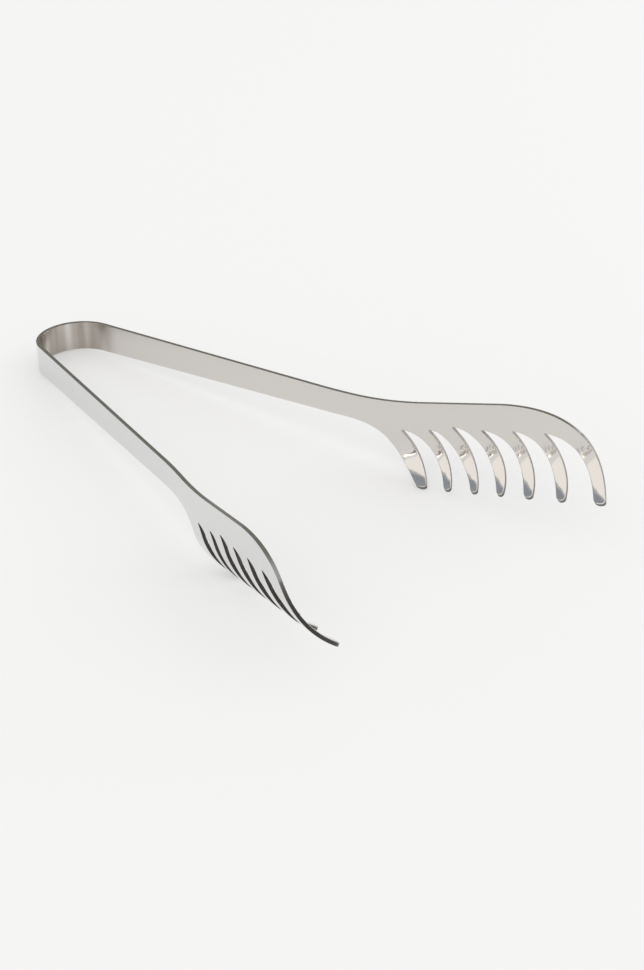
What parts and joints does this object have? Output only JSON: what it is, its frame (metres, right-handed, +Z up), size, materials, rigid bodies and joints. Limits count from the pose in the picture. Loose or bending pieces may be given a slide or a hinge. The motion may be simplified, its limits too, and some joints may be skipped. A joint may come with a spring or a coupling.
{
  "type": "spaghetti tongs",
  "caption": "Spring tongs bent from one steel strip, with a round bow, straight tapered arms and a comb of curled, rounded tines on each arm for lifting long pasta.",
  "frame": {"origin": "centre of the bounding box on the surface that the tongs stand on", "axes": "+X from the bow to the tips of the tines, +Y to the left arm, +Z up"},
  "size_m": [0.2282, 0.1416, 0.0398],
  "materials": {
    "polished_steel": "polished stainless steel with softly rounded edges"
  },
  "bodies": {
    "bow_crown": {"bow_crown": "polished_steel"},
    "left_bow_side": {"left_bow_side": "polished_steel"},
    "left_arm": {"left_arm": "polished_steel", "left_comb_plate": "polished_steel", "left_tine_1": "polished_steel", "left_tine_2": "polished_steel", "left_tine_3": "polished_steel", "left_tine_4": "polished_steel", "left_tine_5": "polished_steel", "left_tine_6": "polished_steel", "left_tine_7": "polished_steel"},
    "right_bow_side": {"right_bow_side": "polished_steel"},
    "right_arm": {"right_arm": "polished_steel", "right_comb_plate": "polished_steel", "right_tine_1": "polished_steel", "right_tine_2": "polished_steel", "right_tine_3": "polished_steel", "right_tine_4": "polished_steel", "right_tine_5": "polished_steel", "right_tine_6": "polished_steel", "right_tine_7": "polished_steel"}
  },
  "joints": [
    {"name": "left_bow_flex", "type": "hinge", "parent": "bow_crown", "child": "left_bow_side", "pos_m": [-0.11127, 0.00675, 0.00626], "axis": [0.1013, 0, -0.9949], "range_deg": [0, 7.6], "stiffness_Nm_per_rad": 10},
    {"name": "left_arm_flex", "type": "hinge", "parent": "left_bow_side", "child": "left_arm", "pos_m": [-0.10092, 0.01501, 0.00732], "axis": [0.1013, 0, -0.9949], "range_deg": [0, 7.6], "stiffness_Nm_per_rad": 10},
    {"name": "right_bow_flex", "type": "hinge", "parent": "bow_crown", "child": "right_bow_side", "pos_m": [-0.11127, -0.00675, 0.00626], "axis": [-0.1013, 0, 0.9949], "range_deg": [0, 7.6], "stiffness_Nm_per_rad": 10},
    {"name": "right_arm_flex", "type": "hinge", "parent": "right_bow_side", "child": "right_arm", "pos_m": [-0.10092, -0.01501, 0.00732], "axis": [-0.1013, 0, 0.9949], "range_deg": [0, 7.6], "stiffness_Nm_per_rad": 10}
  ],
  "couplings": [
    {"joint": "left_bow_flex", "follows": "left_arm_flex", "ratio": 1},
    {"joint": "right_arm_flex", "follows": "left_arm_flex", "ratio": 1},
    {"joint": "right_bow_flex", "follows": "left_arm_flex", "ratio": 1}
  ]
}
